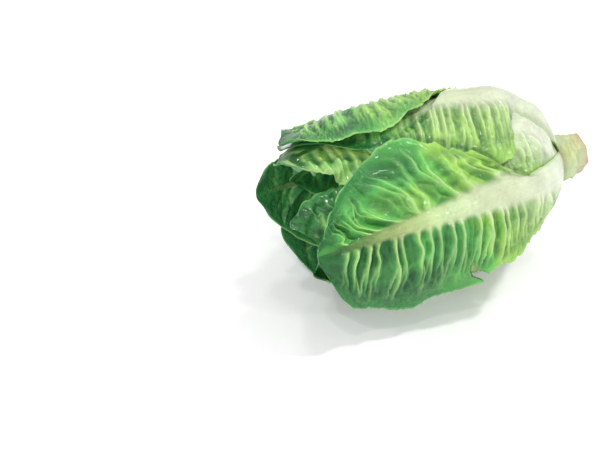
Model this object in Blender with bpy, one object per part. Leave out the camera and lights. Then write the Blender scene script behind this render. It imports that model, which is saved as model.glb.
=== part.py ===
"""A lettuce heart lying on its side: a cut stump and thirteen leaves wrapped round it in nested layers.

Every leaf is drawn in heart coordinates: a station along the heart measured from the cut face, an azimuth
round its axis and a radius from it. Azimuth 0 faces -Y and 90 degrees faces up. Along a leaf, x runs from 0
at its base to 1 at its tip. Lengths are in metres.
"""

import math
from collections import namedtuple

import bmesh
import bpy
import numpy as np

# Driving dimensions of the stump and of the head's axis
STUMP_RADIUS = 0.0125
NECK = 0.015
STEM_REACH = 0.064
STEM_TIP_RADIUS = 0.0025
STEM_TAPER = 0.8
CUT_EDGE = 0.90
BELLY_STATION = 0.105
AXIS_HEIGHT = 0.0436
BUTT_RISE = 0.0045
BUTT_BEND = 0.080
WIDE, FLAT = 1.03, 0.94

# Driving dimensions of a leaf
BLADE = 0.0008
STEM_GAP = 0.0004
BASE_THICKNESS = 0.0020
SHOULDER = 0.06
BASE_HALF_WIDTH = 0.0130
LEAST_WRAP_RADIUS = 0.020
MIDRIB_TIP_HALF_WIDTH = 0.0010
MIDRIB_HEIGHT = 0.0038
COVERED_RIDGE = 0.35
KEEL_BUTT, KEEL_BUTT_END = 0.04, 0.12
KEEL_START, KEEL_FULL, KEEL_FADE, KEEL_END = 0.20, 0.46, 0.60, 0.80
KEEL_GAIN = 1.5
VEIN_RELIEF = 0.0016
MARGIN_RELIEF = 0.0024
WAVES = 4.5
SWELL = 2.2
MIDRIB_COLUMNS = 0.34
OUTLINE_END = 0.97
VEIN_SWEEP = 1.5

# The front leaf has a tear in its lower margin, given by its place along the leaf, depth and reach to the
# base and to the tip.
FRONT_LEAF = "leaf_front"
TEAR_AT, TEAR_DEPTH = 0.490, 0.0105
TEAR_BASE_SIDE, TEAR_TIP_SIDE = 0.035, 0.015
BARE_START = 0.45

# azimuths: of the midrib at the base, half way and at the tip, in degrees. start, reach: stations of base
# and tip. rise: length over which the leaf swells to its belly radius. tip: radius there. widths, onsets,
# points: half-width, and how sharply it widens and narrows, on the side of falling and of rising azimuth.
# widest: where along the leaf. rib: half-width of the midrib at the base. keel: how much prouder the
# midrib is at the butt where it is uncovered. flare: how far free margins stand off. bare: on each side,
# how far along the leaf the midrib is bare of blade. stalks: how wide the foot is. veins: side veins on a
# side. rows, columns: of the mesh.
Leaf = namedtuple(
    "Leaf",
    "name azimuths start reach rise belly tip widths onsets points widest rib keel flare "
    "bare stalks veins rows columns",
)

LEAVES = (
    Leaf("leaf_upper_back", (165, 146, 110), 0.0150, 0.160, 0.045, 0.0508, 0.0400,
         (0.0450, 0.050), (1.90, 1.0), (0.80, 1.1), 0.62, 0.0100, 0.0, 0.002,
         (0.0, 0.0), (1.0, 1.0), 7, 28, 10),
    Leaf("leaf_front", (36, 29, 20), 0.0175, 0.165, 0.053, 0.0498, 0.0440,
         (0.0455, 0.038), (0.85, 1.8), (0.75, 0.95), 0.68, 0.0105, 0.0, 0.003,
         (0.0, 0.44), (1.0, 0.40), 9, 36, 12),
    Leaf("leaf_under", (-100, -112, -135), 0.0160, 0.153, 0.049, 0.0488, 0.0420,
         (0.050, 0.054), (1.1, 1.5), (0.8, 0.8), 0.62, 0.0100, 0.0, 0.0,
         (0.0, 0.0), (1.0, 1.0), 7, 28, 10),
    Leaf("leaf_top", (104, 110, 122), 0.0170, 0.158, 0.036, 0.0472, 0.0384,
         (0.052, 0.050), (0.80, 1.0), (1.2, 0.8), 0.50, 0.0200, 0.0045, 0.002,
         (0.30, 0.0), (1.35, 1.0), 9, 34, 12),
    Leaf("leaf_upper_front", (62, 94, 100), 0.0195, 0.166, 0.0445, 0.0454, 0.0332,
         (0.044, 0.036), (0.70, 1.2), (0.8, 0.8), 0.55, 0.0125, 0.001, 0.003,
         (0.0, 0.0), (1.0, 1.0), 8, 28, 10),
    Leaf("leaf_rear", (198, 192, 184), 0.0205, 0.165, 0.055, 0.0438, 0.0322,
         (0.050, 0.046), (1.2, 1.2), (0.8, 0.8), 0.62, 0.0100, 0.0, 0.0,
         (0.0, 0.0), (1.0, 1.0), 7, 24, 10),
    Leaf("leaf_lower_front", (-34, -8, 40), 0.0220, 0.170, 0.057, 0.0422, 0.0305,
         (0.042, 0.038), (1.2, 1.2), (1.6, 0.8), 0.58, 0.0100, 0.0, 0.0,
         (0.0, 0.0), (1.0, 1.0), 7, 24, 10),
    Leaf("leaf_inner_1", (-70, -72, -70), 0.0270, 0.152, 0.061, 0.0370, 0.0290,
         (0.036, 0.036), (1.3, 1.3), (0.8, 0.8), 0.62, 0.0090, 0.0, 0.0,
         (0.0, 0.0), (1.0, 1.0), 6, 16, 8),
    Leaf("leaf_inner_2", (150, 148, 150), 0.0320, 0.152, 0.062, 0.0325, 0.0250,
         (0.034, 0.034), (1.3, 1.3), (0.8, 0.8), 0.62, 0.0090, 0.0, 0.0,
         (0.0, 0.0), (1.0, 1.0), 6, 16, 8),
    Leaf("leaf_inner_3", (10, 8, 10), 0.0370, 0.150, 0.063, 0.0280, 0.0200,
         (0.032, 0.032), (1.3, 1.3), (0.8, 0.8), 0.62, 0.0080, 0.0, 0.0,
         (0.0, 0.0), (1.0, 1.0), 6, 16, 8),
    Leaf("leaf_inner_4", (-128, -130, -128), 0.0420, 0.146, 0.064, 0.0235, 0.0165,
         (0.028, 0.028), (1.3, 1.3), (0.8, 0.8), 0.62, 0.0070, 0.0, 0.0,
         (0.0, 0.0), (1.0, 1.0), 5, 14, 8),
    Leaf("leaf_inner_5", (92, 90, 92), 0.0460, 0.142, 0.064, 0.0190, 0.0125,
         (0.024, 0.024), (1.3, 1.3), (0.8, 0.8), 0.62, 0.0060, 0.0, 0.0,
         (0.0, 0.0), (1.0, 1.0), 5, 14, 8),
    Leaf("leaf_inner_6", (-48, -50, -48), 0.0500, 0.136, 0.066, 0.0140, 0.0080,
         (0.019, 0.019), (1.3, 1.3), (0.8, 0.8), 0.62, 0.0050, 0.0, 0.0,
         (0.0, 0.0), (1.0, 1.0), 5, 12, 8),
)

STUMP_SEGMENTS, STUMP_RINGS, CUT_RINGS = 24, 18, 3
SLOPE_STEP = 0.0002

OUTER_GREEN = (0.12, 0.42, 0.07)
INNER_GREEN = (0.42, 0.62, 0.12)
STUMP_CREAM = (0.72, 0.74, 0.50)
LEAF_ROUGHNESS, STUMP_ROUGHNESS = 0.4, 0.6


def smooth_step(low, high, value):
    """0 at low, 1 at high, and a smooth rise between."""
    share = np.clip((value - low) / (high - low), 0.0, 1.0)
    return share * share * (3.0 - 2.0 * share)


def stem_radius(station):
    """The stump, which widens from the cut to the neck, then the stem that tapers inside the head."""
    widened = CUT_EDGE + (1.0 - CUT_EDGE) * np.sqrt(np.clip(station / NECK, 0.0, 1.0))
    share = np.clip((station - NECK) / (STEM_REACH - NECK), 0.0, 1.0)
    return STUMP_RADIUS * widened + (STEM_TIP_RADIUS - STUMP_RADIUS) * share**STEM_TAPER


def shell_radius(leaf, station):
    """The leaf's own nested shell: out from the stem, over the belly, and on to the tip."""
    start_radius = stem_radius(leaf.start) + STEM_GAP + BASE_THICKNESS
    risen = np.clip((station - leaf.start) / leaf.rise, 0.0, 1.0)
    swell = 1.0 - (1.0 - risen) ** SWELL
    past_belly = np.clip((station - BELLY_STATION) / (leaf.reach - BELLY_STATION), 0.0, 1.2)
    return start_radius + (leaf.belly - start_radius) * swell + (leaf.tip - leaf.belly) * past_belly**2


def wrap_radius(leaf, station):
    """Turns widths across the leaf into azimuths. Its least value keeps the base from wrapping too far."""
    return np.maximum(shell_radius(leaf, station), LEAST_WRAP_RADIUS)


def axis_height(station):
    """The heart's axis climbs a little towards the butt."""
    bend = np.clip((BUTT_BEND - station) / BUTT_BEND, 0.0, 1.0)
    return AXIS_HEIGHT + BUTT_RISE * bend**2


def floor_radius(station, azimuth):
    """Radius at which a place meets the resting surface."""
    return axis_height(station) / (FLAT * np.maximum(-np.sin(azimuth), 1e-3))


def midrib_azimuth(leaf, x):
    """In radians, on the parabola through the leaf's three stated azimuths."""
    base, middle, tip = (math.radians(angle) for angle in leaf.azimuths)
    return base * 2 * (x - 0.5) * (x - 1.0) - middle * 4 * x * (x - 1.0) + tip * 2 * x * (x - 0.5)


def midrib_half_width(leaf, x):
    """Half the width of the pale midrib, which tapers to the tip."""
    taper = np.clip(1.0 - x, 0.0, 1.0) ** 1.2
    return MIDRIB_TIP_HALF_WIDTH + (leaf.rib - MIDRIB_TIP_HALF_WIDTH) * taper


def keel_profile(x):
    """How proud the midrib stands: at the butt, and again over the crown of the head."""
    crown = smooth_step(KEEL_START, KEEL_FULL, x) * smooth_step(KEEL_END, KEEL_FADE, x)
    return smooth_step(KEEL_BUTT_END, KEEL_BUTT, x) + KEEL_GAIN * crown


def blade_half_width(leaf, x, rising):
    """From the midrib to the margin. rising is true on the side of rising azimuth."""
    width, onset, point, bare, stalk = (
        np.where(rising, pair[1], pair[0])
        for pair in (leaf.widths, leaf.onsets, leaf.points, leaf.bare, leaf.stalks)
    )
    widening = np.sin(0.5 * math.pi * (np.clip(x, 1e-6, leaf.widest) / leaf.widest) ** onset)
    narrowing = np.clip((x - leaf.widest) / (1.0 - leaf.widest), 0.0, 1.0)
    blade = width * widening * (1.0 - narrowing**2) ** point
    blade = blade * smooth_step(BARE_START * bare - 1e-6, bare, x)
    stalk = BASE_HALF_WIDTH * stalk * np.clip(1.0 - x, 1e-4, 1.0)
    if leaf.name == FRONT_LEAF:
        tear_reach = np.where(x < TEAR_AT, TEAR_BASE_SIDE, TEAR_TIP_SIDE)
        tear = TEAR_DEPTH * np.exp(-(((x - TEAR_AT) / tear_reach) ** 2))
        blade = np.where(rising, blade, blade - tear)
    return np.sqrt(blade**2 + stalk**2)


def share_covered(leaf, station, azimuth):
    """1 where the leaf lies over this place or close by, falling to 0 beyond its margin."""
    x = (station - leaf.start) / (leaf.reach - leaf.start)
    turn = azimuth - midrib_azimuth(leaf, x)
    turn = (turn + math.pi) % (2.0 * math.pi) - math.pi
    beyond = np.abs(turn) * wrap_radius(leaf, station) - blade_half_width(leaf, x, turn > 0)
    return smooth_step(0.010, 0.002, beyond) * smooth_step(1.06, 1.02, x)


def exposure(order, station, azimuth):
    """How far a place on the leaf is clear of the leaves outside it."""
    clear = np.ones_like(station)
    for outer in LEAVES[:order]:
        clear = clear * (1.0 - share_covered(outer, station, azimuth))
    return clear


def leaf_surface(order, along, across):
    """Outer and inner radius of a leaf and where they are, for along in 0 to 1 and across in -1 to 1."""
    leaf = LEAVES[order]
    x_margin = OUTLINE_END * (1.0 - (1.0 - along) ** VEIN_SWEEP)
    half_width = blade_half_width(leaf, x_margin, across > 0)
    rib_half = np.minimum(midrib_half_width(leaf, along), 0.9 * half_width)
    column = np.abs(across)
    in_rib = rib_half * column / MIDRIB_COLUMNS
    in_blade = rib_half + (half_width - rib_half) * (column - MIDRIB_COLUMNS) / (1.0 - MIDRIB_COLUMNS)
    reach_across = np.where(column < MIDRIB_COLUMNS, in_rib, in_blade)
    share = reach_across / half_width
    x = along + (x_margin - along) * share

    station = leaf.start + (leaf.reach - leaf.start) * x
    azimuth = midrib_azimuth(leaf, x) + np.sign(across) * reach_across / wrap_radius(leaf, station)
    clear = exposure(order, station, azimuth)
    shell = shell_radius(leaf, station)

    height = MIDRIB_HEIGHT * (COVERED_RIDGE + (1.0 - COVERED_RIDGE) * clear)
    height = height + leaf.keel * keel_profile(x) * clear
    shoulder = np.sqrt(np.clip(x / SHOULDER, 0.02, 1.0))
    ridge = height * shoulder * (1.0 - x) ** 1.1 * np.exp(-((reach_across / rib_half) ** 2))
    in_panel = smooth_step(0.05, 0.25, share) * smooth_step(1.0, 0.75, share)
    in_length = smooth_step(0.04, 0.14, along) * smooth_step(0.97, 0.86, along)
    veins = 0.5 + 0.5 * np.cos(2.0 * math.pi * leaf.veins * along)
    near_margin = (1.0 - (1.0 - share**4) * (1.0 - along**12)) * smooth_step(0.15, 0.40, along)
    phase = order + np.sign(across) * (1.0 - along)
    wave = 0.5 + 0.5 * np.sin(2.0 * math.pi * WAVES * along + phase)
    lift = VEIN_RELIEF * in_panel * in_length * veins + near_margin * (MARGIN_RELIEF * wave + leaf.flare)
    lowest = floor_radius(station, azimuth)
    outer = np.minimum(shell + ridge + lift * clear, lowest)
    slope = (shell_radius(leaf, station + SLOPE_STEP) - shell) / SLOPE_STEP
    blade = BLADE * np.sqrt(1.0 + slope**2)
    inner = outer - blade - np.clip(np.minimum(ridge, lowest - shell), 0.0, None)
    return station, azimuth, outer, inner


def world_points(station, azimuth, radius):
    """Heart coordinates to X, Y and Z."""
    x = -station * np.ones_like(radius)
    y = -radius * np.cos(azimuth) * WIDE
    z = axis_height(station) + radius * np.sin(azimuth) * FLAT
    return np.stack([x, y, z], axis=-1)


def material(name, colour, roughness):
    """A plain Principled BSDF finish."""
    made = bpy.data.materials.new(name)
    made.use_nodes = True
    shader = made.node_tree.nodes["Principled BSDF"]
    shader.inputs["Base Color"].default_value = (*colour, 1.0)
    shader.inputs["Roughness"].default_value = roughness
    shader.inputs["Metallic"].default_value = 0.0
    return made


def object_from(bm, name, collection, finish):
    """The finished bmesh as a smooth object in the collection."""
    mesh = bpy.data.meshes.new(name)
    bm.to_mesh(mesh)
    bm.free()
    mesh.shade_smooth()
    mesh.materials.append(finish)
    made = bpy.data.objects.new(name, mesh)
    collection.objects.link(made)
    return made


def leaf_object(order, collection):
    """A flat grid of triangles, extruded to a slab whose two faces are bent to the leaf's faces."""
    leaf = LEAVES[order]
    bm = bmesh.new()
    bmesh.ops.create_grid(bm, x_segments=leaf.columns, y_segments=leaf.rows, size=1.0)
    bmesh.ops.triangulate(bm, faces=bm.faces)
    slab = bmesh.ops.extrude_face_region(bm, geom=bm.faces)
    top = [item for item in slab["geom"] if isinstance(item, bmesh.types.BMVert)]
    bmesh.ops.translate(bm, verts=top, vec=(0.0, 0.0, 1.0))
    bmesh.ops.recalc_face_normals(bm, faces=bm.faces)

    flat = np.array([vert.co for vert in bm.verts])
    station, azimuth, outer, inner = leaf_surface(order, (flat[:, 1] + 1.0) / 2.0, flat[:, 0])
    radius = np.where(flat[:, 2] > 0.5, outer, inner)
    for vert, point in zip(bm.verts, world_points(station, azimuth, radius)):
        vert.co = point
    depth = order / (len(LEAVES) - 1)
    colour = [outer + (inner - outer) * depth for outer, inner in zip(OUTER_GREEN, INNER_GREEN)]
    return object_from(bm, leaf.name, collection, material(leaf.name, colour, LEAF_ROUGHNESS))


def stump_object(collection):
    """A ball with one end flattened into the cut face and the rest drawn out along the stem."""
    bm = bmesh.new()
    bmesh.ops.create_uvsphere(bm, u_segments=STUMP_SEGMENTS, v_segments=STUMP_RINGS, radius=1.0)
    for vert in bm.verts:
        ring = round(math.acos(max(-1.0, min(1.0, vert.co.z))) / math.pi * STUMP_RINGS)
        if ring <= CUT_RINGS:
            station = 0.0
            radius = CUT_EDGE * STUMP_RADIUS * ring / CUT_RINGS
        else:
            station = STEM_REACH * (ring - CUT_RINGS) / (STUMP_RINGS - CUT_RINGS)
            radius = 0.0 if ring == STUMP_RINGS else stem_radius(station)
        vert.co = world_points(np.float64(station), math.atan2(vert.co.y, vert.co.x), radius)
    bmesh.ops.recalc_face_normals(bm, faces=bm.faces)
    bmesh.ops.triangulate(bm, faces=bm.faces)
    return object_from(bm, "stump", collection, material("stump", STUMP_CREAM, STUMP_ROUGHNESS))


def centre_over_origin(objects):
    """Moves the heart so that its box is centred on the Z axis."""
    bpy.context.view_layer.update()
    graph = bpy.context.evaluated_depsgraph_get()
    solids = [obj.evaluated_get(graph) for obj in objects]
    points = np.array([solid.matrix_world @ vert.co for solid in solids for vert in solid.data.vertices])
    middle = (points.min(axis=0) + points.max(axis=0)) / 2.0
    for obj in objects:
        obj.location = (-middle[0], -middle[1], 0.0)


def main():
    for obj in list(bpy.data.objects):
        bpy.data.objects.remove(obj, do_unlink=True)
    collection = bpy.data.collections.new("lettuce_heart")
    bpy.context.scene.collection.children.link(collection)
    parts = [stump_object(collection)]
    parts += [leaf_object(order, collection) for order in range(len(LEAVES))]
    centre_over_origin(parts)


main()
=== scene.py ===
"""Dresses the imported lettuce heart: each leaf again at a finer grain, with its veins, blisters, ruffled
margins and colours, the stump with its leaf scars and browned cut, and a plain pale studio.

The leaves are drawn in the same heart coordinates as the solids: a station along the heart from the cut
face, an azimuth round its axis and a radius from it. Lengths are in metres and shares run from 0 to 1. On a
leaf, x is the share of its length, and share that of the way out from the midrib's middle to the margin.
"""

import math
from collections import namedtuple
from types import SimpleNamespace

import bpy
import numpy as np
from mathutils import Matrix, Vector


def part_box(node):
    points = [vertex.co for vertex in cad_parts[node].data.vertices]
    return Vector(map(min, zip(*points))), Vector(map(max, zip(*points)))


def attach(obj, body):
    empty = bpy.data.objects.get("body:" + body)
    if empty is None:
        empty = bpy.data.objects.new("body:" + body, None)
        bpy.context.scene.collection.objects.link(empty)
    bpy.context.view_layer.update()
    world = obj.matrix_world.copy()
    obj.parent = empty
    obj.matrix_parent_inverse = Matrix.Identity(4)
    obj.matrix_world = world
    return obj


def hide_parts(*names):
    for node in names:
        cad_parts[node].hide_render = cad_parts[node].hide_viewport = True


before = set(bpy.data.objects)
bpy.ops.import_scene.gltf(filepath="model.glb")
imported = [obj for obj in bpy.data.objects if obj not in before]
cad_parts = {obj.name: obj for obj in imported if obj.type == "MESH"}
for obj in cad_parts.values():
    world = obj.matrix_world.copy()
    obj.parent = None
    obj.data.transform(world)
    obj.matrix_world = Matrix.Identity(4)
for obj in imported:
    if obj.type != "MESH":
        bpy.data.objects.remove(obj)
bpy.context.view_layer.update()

# Camera at the photograph's viewing angle
LENS, SENSOR = 80.0, 36.0
IMAGE_WIDTH, IMAGE_HEIGHT = 600, 450
VIEW_AZIMUTH, VIEW_ELEVATION = math.radians(-22.0), math.radians(36.0)
METRES_PER_PIXEL = 0.0005
TARGET = Vector((0.0, 0.0, 0.046))
TARGET_PIXEL = (430, 189)
CLIP_START = 0.01

# Lights aimed at the heart: name, place, width and power. Small ones make the highlights on moist leaves.
HEART = Vector((0.0, 0.0, 0.05))
LIGHTS = (
    ("key", (0.5, -0.3, 1.2), 0.1, 6.0),
    ("back", (0.05, 0.7, 0.95), 0.14, 1.5),
    ("top", (0.38, 0.36, 1.1), 0.1, 1.8),
    ("side", (-0.75, -0.85, 0.48), 0.16, 7.0),
)
GLINT_SIZE, GLINT_POWER = 0.045, 0.95
GLINTS = (
    (-0.05, 0.95, 0.55), (0.67, 0.14, 0.88), (-0.32, -0.47, 0.95), (0.33, -0.86, 0.6), (-0.89, -0.4, 0.37),
    (-0.5, 0.45, 0.85),
)
SKY_STRENGTH = 0.62
FLOOR_HALF = 3.0

# A material: how much its tint is mottled, its roughness, values set on its shader, scale and detail of the
# noises in its bump, scale of the cells there, and distance and strength of the bump
Finish = namedtuple("Finish", "mottle roughness values noises cells bump")
LEAF_FINISH = Finish(
    0.09, 0.4,
    {"Coat Roughness": 0.07, "Coat IOR": 1.37, "Specular IOR Level": 0.2, "Subsurface Weight": 0.2,
     "Subsurface Radius": (0.6, 1.0, 0.3), "Subsurface Scale": 0.002},
    ((700.0, 3.0), (260.0, 4.0)), 420.0, (0.0006, 0.6),
)
STUMP_FINISH = Finish(
    0.08, 0.5,
    {"Coat Roughness": 0.3, "Subsurface Weight": 0.25, "Subsurface Radius": (1.0, 0.9, 0.5),
     "Subsurface Scale": 0.0025},
    ((1100.0, 3.0), (420.0, 3.0)), None, (0.0004, 0.5),
)
STUMP_GLOSS, STUMP_NOISE = 0.15, 3
FLOOR_VALUES = {"Base Color": (0.93, 0.93, 0.93, 1.0), "Roughness": 0.8, "Specular IOR Level": 0.1}
MOTTLE_SCALE, MOTTLE_SCALE_STEP, MOTTLE_DETAIL, FLECKS = 95.0, 7.0, 3.0, (900.0, 2.0)
NOISE_MIDDLE, ROUGHNESS_SPREAD = (0.3, 0.7), 0.08

# Driving dimensions of the stump and of the head's axis, as in the solids
STUMP_RADIUS = 0.0125
NECK = 0.015
STEM_REACH = 0.064
STEM_TIP_RADIUS = 0.0025
STEM_TAPER = 0.8
CUT_EDGE = 0.9
BELLY_STATION = 0.105
AXIS_HEIGHT = 0.0436
BUTT_RISE = 0.0045
BUTT_BEND = 0.08
WIDE, FLAT = 1.03, 0.94

# Driving dimensions of a leaf, as in the solids
BLADE = 0.0008
STEM_GAP = 0.0004
BASE_THICKNESS = 0.002
SHOULDER, SHOULDER_LEAST = 0.06, 0.02
BASE_HALF_WIDTH = 0.013
LEAST_WRAP_RADIUS = 0.02
MIDRIB_TIP_HALF_WIDTH = 0.001
MIDRIB_HEIGHT = 0.0038
MIDRIB_TAPER, MIDRIB_HEIGHT_TAPER = 1.2, 1.1
COVERED_RIDGE = 0.35
KEEL_BUTT, KEEL_BUTT_END = 0.04, 0.12
KEEL_CROWN = (0.2, 0.46, 0.6, 0.8)
KEEL_GAIN = 1.5
MARGIN_RELIEF = 0.0024
WAVES = 4.5
SWELL = 2.2
PAST_TIP = 1.2
MIDRIB_COLUMNS = 0.3
MIDRIB_MOST = 0.9
OUTLINE_END = 0.97
SLOPE_STEP = 0.0002
BARE_START = 0.45
TINY, LEAST_FOOT, LEAST_SINE = 1e-6, 1e-4, 1e-3

# The margin. The tip is rounded from TIP_FROM on, and the rows bend more to it from TIP_BEND_FROM on. Its
# teeth and the longer notches are in tooth heights.
TIP_FROM, TIP_ROUNDING, TIP_BEND_FROM, TIP_BEND = 0.95, 0.55, 0.8, 2.4
TOOTH, TOOTH_LENGTH = 0.0008, 0.0035
NOTCH_LENGTH = 3.0 * TOOTH_LENGTH
TEETH, NOTCHES, FRILLED_TEETH = 2.0, 2.5, 2.0
TOOTH_ROW, NOTCH_ROW = 3.0, 9.0
TEETH_FROM = (0.1, 0.3)

# The front leaf is torn in its lower margin, deeper than in the solid, and a lobe beside it hangs over. Its
# margin is frilled between four shares of its length, on the side of falling and of rising azimuth, and the
# rows near its foot lean to the tip on the falling side.
FRONT_LEAF = "leaf_front"
TEAR_AT, TEAR_DEPTH = 0.49, 0.0125
TEAR_BASE_SIDE, TEAR_TIP_SIDE = 0.035, 0.009
LOBE_AT, LOBE_LENGTH, LOBE_OVERHANG = 0.515, 0.018, 0.075
LOBE_FROM = 0.8
FRILLED = ((0.14, 0.22, 0.36, 0.46), (0.36, 0.44, 0.54, 0.64))
FRILL, FRILL_LENGTH, FRILL_LOW, FRILL_OUT = 0.0024, 0.0055, 0.3, (0.5, 0.95)
LEAN_AT, LEAN_REACH, LEAN, LEAN_FROM = 0.2, 0.12, 0.055, 0.1

# How far the falling margins of two leaves are tucked in, and between which shares of their length
TUCKS = {"leaf_top": (0.006, (0.0, 0.06, 0.22, 0.36)), "leaf_upper_back": (0.004, (0.2, 0.36, 0.66, 0.9))}
TUCK_FROM = 0.35

# A leaf's foot is crumpled: height, lengths along and across, and between which shares of its length
CRUMPLED_LEAF = "leaf_upper_front"
CRUMPLE, CRUMPLE_LENGTHS, CRUMPLED = 0.0014, (0.0032, 0.0045), (0.04, 0.09, 0.2, 0.45)

# azimuths: of the midrib at the base, half way and at the tip, in degrees. start, reach: stations of base
# and tip. rise: length over which the leaf swells to its belly radius. tip: radius there. widths, onsets,
# points: half-width, and how sharply it widens and narrows, on the side of falling and of rising azimuth.
# rib: half-width of the midrib at the base. widest: where along the leaf. keel: how much prouder the
# midrib is at the butt where it is uncovered. flare: how far free margins stand off. bare: on each side,
# how far along the leaf the midrib is bare of blade. stalks: how wide the foot is on each side. They are as
# in the solids, but for wider feet and blunter tips on some leaves.
Leaf = namedtuple(
    "Leaf",
    "name azimuths start reach rise belly tip widths rib onsets points widest keel flare bare stalks",
    defaults=((1.3, 1.3), (0.8, 0.8), 0.62, 0.0, 0.0, (0.0, 0.0), (1.0, 1.0)),
)

LEAVES = (
    Leaf("leaf_upper_back", (165, 146, 110), 0.015, 0.16, 0.045, 0.0508, 0.04, (0.045, 0.05), 0.01,
         onsets=(1.9, 1.0), points=(0.8, 1.1), flare=0.002),
    Leaf("leaf_front", (36, 29, 20), 0.0175, 0.165, 0.053, 0.0498, 0.044, (0.0455, 0.038), 0.0105,
         onsets=(0.95, 1.8), points=(0.62, 0.75), widest=0.68, flare=0.003, bare=(0.0, 0.44),
         stalks=(1.0, 0.4)),
    Leaf("leaf_under", (-100, -112, -135), 0.016, 0.153, 0.049, 0.0488, 0.042, (0.05, 0.05), 0.01,
         onsets=(0.7, 1.8)),
    Leaf("leaf_top", (104, 110, 122), 0.017, 0.158, 0.036, 0.0472, 0.0384, (0.052, 0.05), 0.02,
         onsets=(0.8, 0.7), points=(1.2, 0.8), widest=0.5, keel=0.0045, flare=0.002, bare=(0.3, 0.0),
         stalks=(1.35, 1.0)),
    Leaf("leaf_upper_front", (62, 94, 100), 0.0183, 0.166, 0.0445, 0.0454, 0.0332, (0.044, 0.036), 0.0125,
         onsets=(0.7, 1.2), widest=0.55, keel=0.001, flare=0.003),
    Leaf("leaf_rear", (198, 192, 184), 0.0205, 0.165, 0.055, 0.0438, 0.0322, (0.05, 0.046), 0.01,
         onsets=(0.85, 0.85)),
    Leaf("leaf_lower_front", (-34, -8, 40), 0.022, 0.17, 0.057, 0.0422, 0.0305, (0.042, 0.038), 0.01,
         onsets=(1.2, 1.2), points=(1.6, 0.8), widest=0.58),
    Leaf("leaf_inner_1", (-70, -72, -70), 0.027, 0.152, 0.061, 0.037, 0.029, (0.036, 0.036), 0.009),
    Leaf("leaf_inner_2", (150, 148, 150), 0.032, 0.152, 0.062, 0.0325, 0.025, (0.034, 0.034), 0.009),
    Leaf("leaf_inner_3", (10, 8, 10), 0.037, 0.15, 0.063, 0.028, 0.02, (0.032, 0.032), 0.008),
    Leaf("leaf_inner_4", (-128, -130, -128), 0.042, 0.146, 0.064, 0.0235, 0.0165, (0.028, 0.028), 0.007),
    Leaf("leaf_inner_5", (92, 90, 92), 0.046, 0.142, 0.064, 0.019, 0.0125, (0.024, 0.024), 0.006),
    Leaf("leaf_inner_6", (-48, -50, -48), 0.05, 0.136, 0.066, 0.014, 0.008, (0.019, 0.019), 0.005),
)

# How a leaf is dressed. Pairs are for the side of falling and of rising azimuth. rows, columns: of the mesh.
# veins: on each side. brights: 0 for the darkest blade, 1 or more for a pale one. gloss: of the coat.
# rib_end: where along the leaf the pale midrib has faded. sweeps, bends: how far the side veins sweep to the
# tip and how they curve. girth: of a vein. span: below 1 where the veins run out to the margin. ribs: height
# of a side vein. folds: of the ridge that carries it. puffs: height of the blisters between, below 0 where
# they are hollows. ruffles: how much the margin waves. lip: of a rolled margin.
Dress = namedtuple(
    "Dress",
    "rows columns veins brights gloss rib_end sweeps bends girth span ribs folds puffs ruffles lip",
    defaults=(0.25, 0.9, (1.4, 1.4), (1.0, 1.0), 1.0, 1.0, 0.0003, (0.0, 0.0), (0.0, 0.0), 0.0, 0.0),
)

DRESSES = {
    "leaf_upper_back": Dress(
        250, 140, (24, 18), (0.86, 0.7), 0.5, 0.8, sweeps=(1.3, 1.4), girth=1.4, ribs=0.0004,
        folds=(0.0016, 0.0016), puffs=(0.0017, -0.001), ruffles=0.002, lip=0.0006),
    "leaf_front": Dress(
        288, 164, (22, 12), (0.16, 0.8), 0.42, 0.86, sweeps=(1.1, 2.0), bends=(1.2, 0.7), girth=0.9,
        ribs=0.0012, folds=(0.003, 0.0034), puffs=(-0.0008, 0.0009), ruffles=0.0022, lip=0.0003),
    "leaf_under": Dress(
        180, 110, (14, 14), (0.26, 0.26), 0.35, 0.7, ribs=0.0006, folds=(0.0014, 0.0014),
        puffs=(-0.001, -0.001), ruffles=0.0014),
    "leaf_top": Dress(
        270, 156, (32, 20), (0.62, 0.66), 0.95, 0.95, sweeps=(1.45, 1.4), girth=2.0, ribs=0.0005,
        folds=(0.0034, 0.0016), puffs=(0.0009, -0.0007), ruffles=0.0018),
    "leaf_lower_front": Dress(
        180, 106, (12, 12), (0.6, 0.6), 0.6, 0.45, sweeps=(1.3, 1.3), ribs=0.0004,
        folds=(0.0014, 0.0014), puffs=(0.0016, 0.0016), ruffles=0.0012),
    "leaf_rear": Dress(
        170, 100, (13, 13), (0.52, 0.52), 0.4, 0.6, ribs=0.0006, folds=(0.0014, 0.0014),
        puffs=(-0.001, -0.001), ruffles=0.0012),
    "leaf_upper_front": Dress(
        230, 120, (22, 12), (1.28, 1.05), 1.0, 0.6, sweeps=(1.1, 1.2), girth=1.5, span=0.66, ribs=0.0007,
        folds=(0.0036, 0.0016), puffs=(0.001, 0.001), ruffles=0.0014, lip=0.0008),
    "leaf_inner_1": Dress(90, 60, (10, 10), (0.6, 0.6)),
    "leaf_inner_2": Dress(90, 60, (10, 10), (0.65, 0.65)),
    "leaf_inner_3": Dress(80, 56, (9, 9), (0.72, 0.72)),
    "leaf_inner_4": Dress(70, 50, (9, 9), (0.8, 0.8)),
    "leaf_inner_5": Dress(60, 44, (8, 8), (0.88, 0.88)),
    "leaf_inner_6": Dress(60, 40, (8, 8), (0.95, 0.95)),
}

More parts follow.
